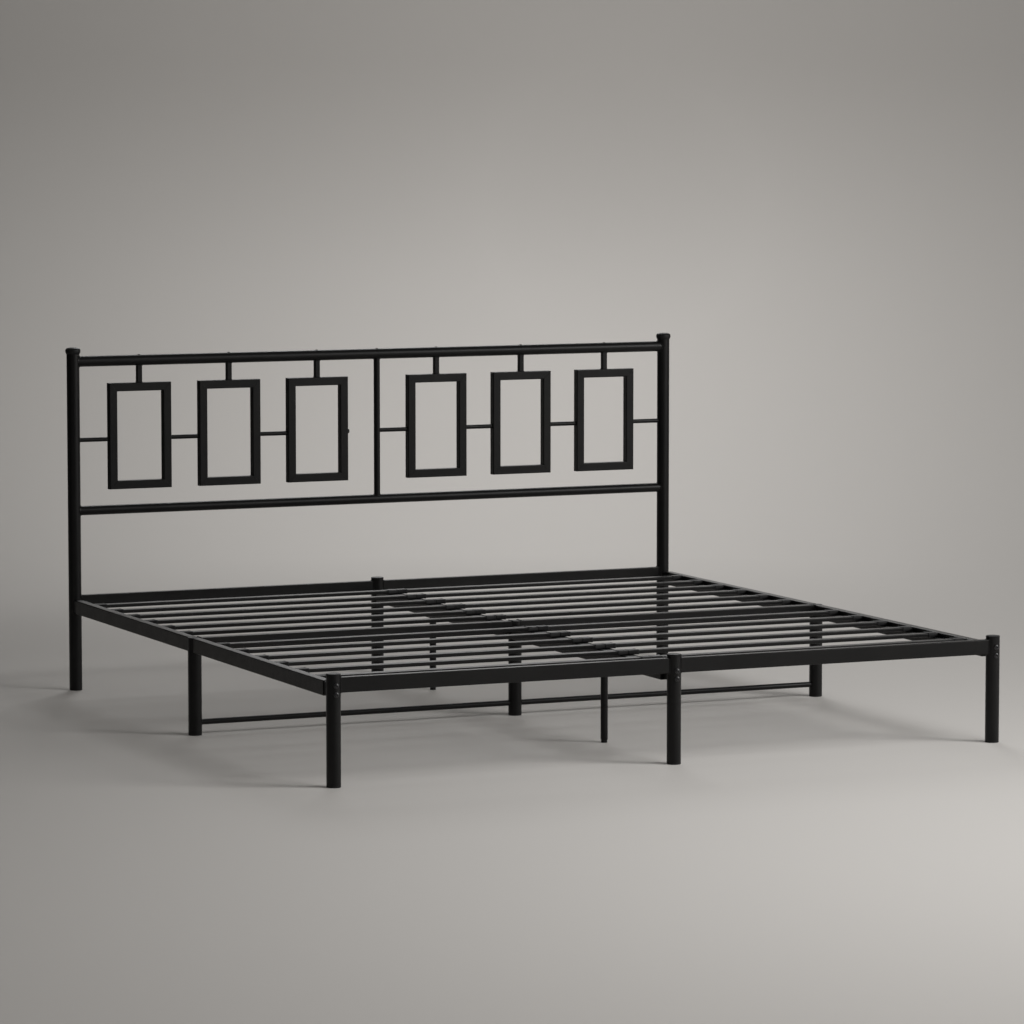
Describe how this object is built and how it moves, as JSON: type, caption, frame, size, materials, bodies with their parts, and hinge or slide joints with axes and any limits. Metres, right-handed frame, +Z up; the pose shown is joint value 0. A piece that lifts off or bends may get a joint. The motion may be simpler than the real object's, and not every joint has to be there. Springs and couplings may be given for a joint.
{
  "type": "bed frame",
  "caption": "Metal bed frame with a headboard of hung rectangles, low foot end, steel slats on side rails and a center beam, and round legs.",
  "frame": {"origin": "on the floor at the middle of the bed's outer box", "axes": "+X to the right of someone standing at the foot and looking to the head, +Y to the head, +Z up"},
  "size_m": [1.987, 2.0914, 1.02],
  "materials": {
    "powder_coat": "satin black powder coat",
    "black_plastic": "moulded, fine texture",
    "black_screws": "black oxide, satin",
    "zinc_steel": "zinc plated"
  },
  "bodies": {
    "frame": {"head_post_left": "powder_coat", "head_post_right": "powder_coat", "post_cap_left": "black_plastic", "post_cap_right": "black_plastic", "top_rail": "powder_coat", "lower_rail": "powder_coat", "center_post": "powder_coat", "headboard_frame_1": "powder_coat", "headboard_frame_2": "powder_coat", "headboard_frame_3": "powder_coat", "headboard_frame_4": "powder_coat", "headboard_frame_5": "powder_coat", "headboard_frame_6": "powder_coat", "frame_hangers": "powder_coat", "link_bars": "powder_coat", "head_rail_left": "powder_coat", "head_rail_right": "powder_coat", "head_leg_center": "powder_coat", "foot_leg_left": "powder_coat", "foot_leg_center": "powder_coat", "foot_leg_right": "powder_coat", "foot_rail_left": "powder_coat", "foot_rail_right": "powder_coat", "foot_cap_left": "black_plastic", "foot_cap_center": "black_plastic", "foot_cap_right": "black_plastic", "deck_leg_caps": "black_plastic", "side_rail_left_head": "powder_coat", "side_rail_left_foot": "powder_coat", "side_rail_right_head": "powder_coat", "side_rail_right_foot": "powder_coat", "slat_ledges_left": "powder_coat", "slat_ledges_right": "powder_coat", "center_beam_head": "powder_coat", "center_beam_foot": "powder_coat", "mid_leg_left": "powder_coat", "mid_leg_center": "powder_coat", "mid_leg_right": "powder_coat", "mid_crossbar_left": "powder_coat", "mid_crossbar_right": "powder_coat", "stretcher_left": "powder_coat", "stretcher_right": "powder_coat", "rail_tongues": "powder_coat", "rail_saddles": "black_plastic", "rail_end_plates": "powder_coat", "leg_bolts": "black_screws", "leg_nuts": "zinc_steel", "tongue_screws": "black_screws", "support_leg_foot": "powder_coat", "support_leg_head": "powder_coat", "support_leg_screws": "black_screws", "leveller_plugs": "zinc_steel", "leg_glides": "black_plastic", "slats_left": "powder_coat", "slats_right": "powder_coat", "slat_caps_left": "black_plastic", "slat_caps_right": "black_plastic"},
    "foot_leveller": {"leveller_foot_end": "black_plastic"},
    "head_leveller": {"leveller_head_end": "black_plastic"}
  },
  "joints": [
    {"name": "foot_leveller_screw", "type": "slide", "parent": "frame", "child": "foot_leveller", "axis": [0, 0, -1], "range_m": [0, 0.012]},
    {"name": "head_leveller_screw", "type": "slide", "parent": "frame", "child": "head_leveller", "axis": [0, 0, -1], "range_m": [0, 0.012]}
  ]
}
